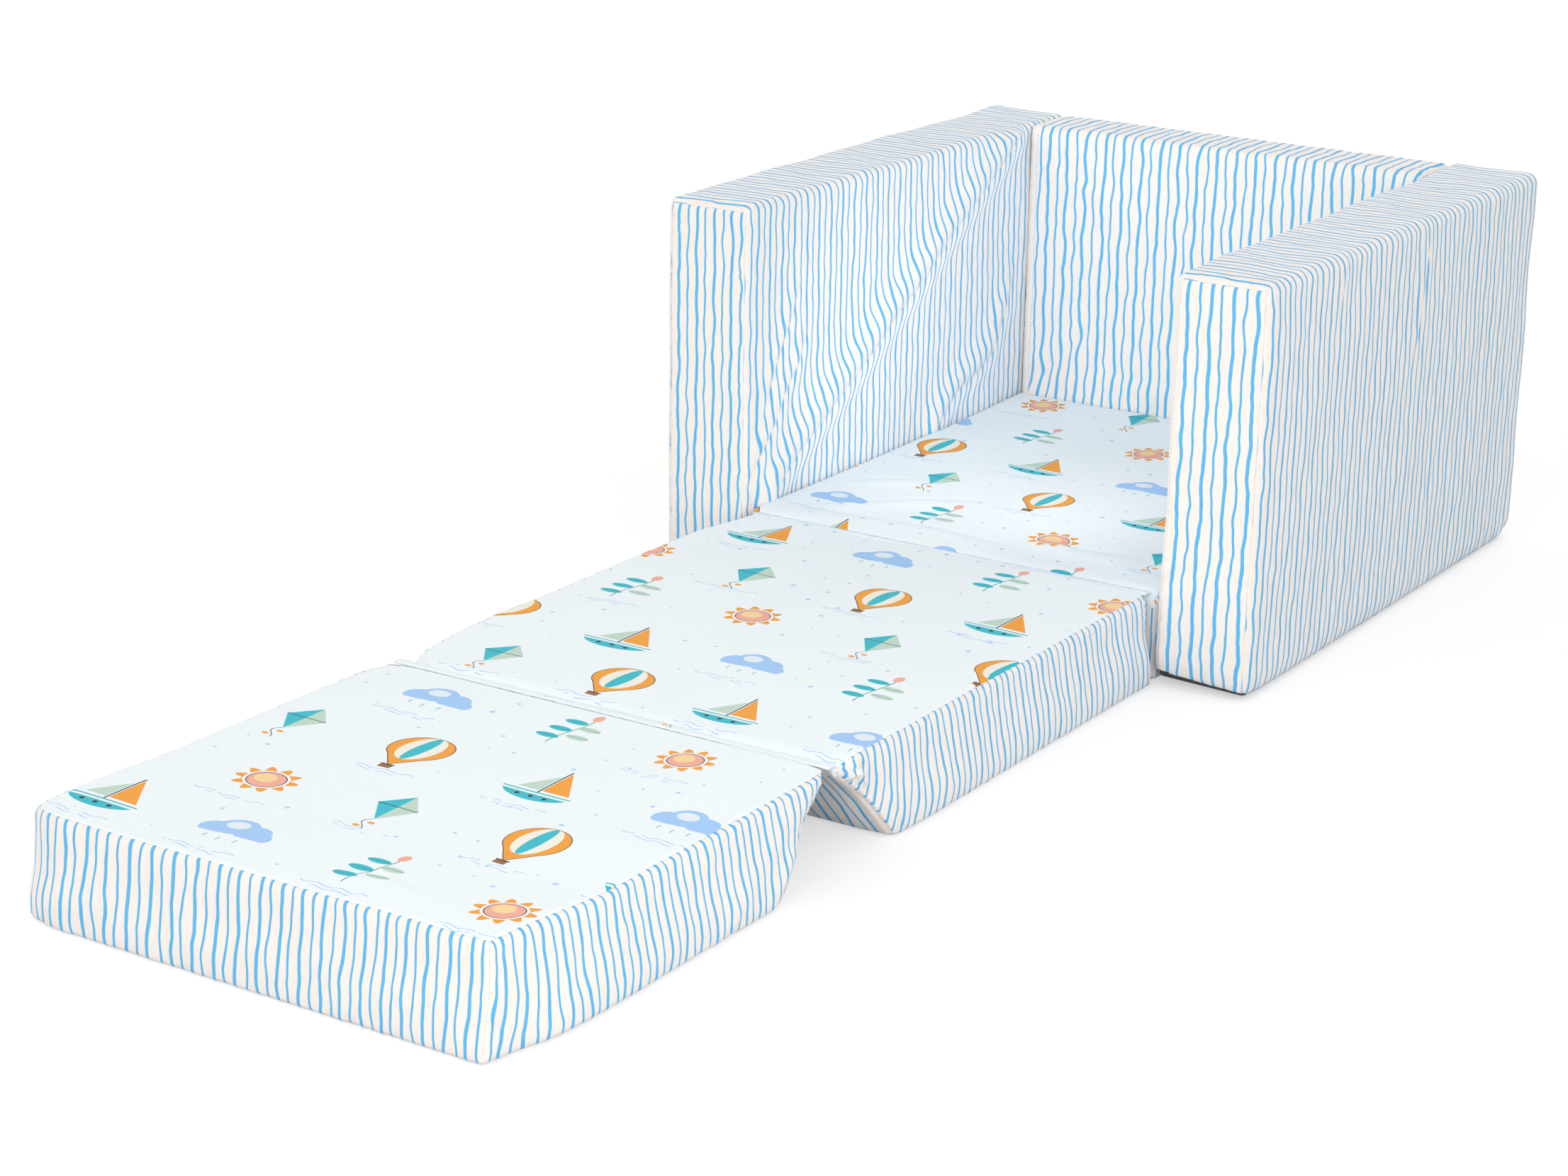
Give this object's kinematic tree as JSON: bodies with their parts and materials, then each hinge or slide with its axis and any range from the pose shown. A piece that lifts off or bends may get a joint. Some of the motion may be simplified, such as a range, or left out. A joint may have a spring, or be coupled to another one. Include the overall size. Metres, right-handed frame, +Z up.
{
  "type": "childrens fold-out armchair",
  "caption": "Small foam armchair in cotton covers whose seat mattress unfolds forward in three hinged pads to a floor bed, with two arms and a back.",
  "frame": {"origin": "on the floor, under the middle of the unfolded chair's box", "axes": "+Z up; the chair faces -Y, so the pads fold out towards -Y; +X is its right side seen from the front"},
  "size_m": [0.596, 1.494, 0.355],
  "materials": {
    "striped_cotton": "cream cotton with fine wavy sky-blue stripes",
    "printed_cotton": null,
    "base_cloth": "dark grey non-slip cloth",
    "foam": "pale yellow open-cell foam",
    "zip_tape": "woven tape with a coil chain",
    "zip_metal": "satin"
  },
  "bodies": {
    "chair": {"left_arm_foam": "foam", "left_arm_cover": "striped_cotton", "left_arm_front_panel": "striped_cotton", "left_arm_rear_panel": "striped_cotton", "left_arm_base_panel": "base_cloth", "left_arm_zip": "zip_tape", "left_arm_zip_slider": "zip_metal", "right_arm_foam": "foam", "right_arm_cover": "striped_cotton", "right_arm_front_panel": "striped_cotton", "right_arm_rear_panel": "striped_cotton", "right_arm_base_panel": "base_cloth", "right_arm_zip": "zip_tape", "right_arm_zip_slider": "zip_metal", "back_foam": "foam", "back_cover": "striped_cotton", "back_base_panel": "base_cloth", "back_zip": "zip_tape", "back_zip_slider": "zip_metal", "seat_foam": "foam", "seat_top_panel": "printed_cotton", "seat_side_band": "striped_cotton", "seat_base_panel": "base_cloth", "middle_fold_strip": "striped_cotton"},
    "middle_pad": {"middle_foam": "foam", "middle_top_panel": "printed_cotton", "middle_side_band": "striped_cotton", "middle_base_panel": "striped_cotton", "middle_zip": "zip_tape", "middle_zip_slider": "zip_metal", "end_fold_strip": "striped_cotton"},
    "end_pad": {"end_foam": "foam", "end_top_panel": "printed_cotton", "end_side_band": "striped_cotton", "end_base_panel": "striped_cotton", "end_zip": "zip_tape", "end_zip_slider": "zip_metal"}
  },
  "joints": [
    {"name": "middle_fold", "type": "hinge", "parent": "chair", "child": "middle_pad", "pos_m": [0, 0.15895, 0.0796], "axis": [-1, 0, 0], "range_deg": [0, 180]},
    {"name": "end_fold", "type": "hinge", "parent": "middle_pad", "child": "end_pad", "pos_m": [0, -0.34205, 0.0796], "axis": [1, 0, 0], "range_deg": [0, 90]}
  ],
  "couplings": [
    {"joint": "end_fold", "follows": "middle_fold", "ratio": 0.5}
  ]
}
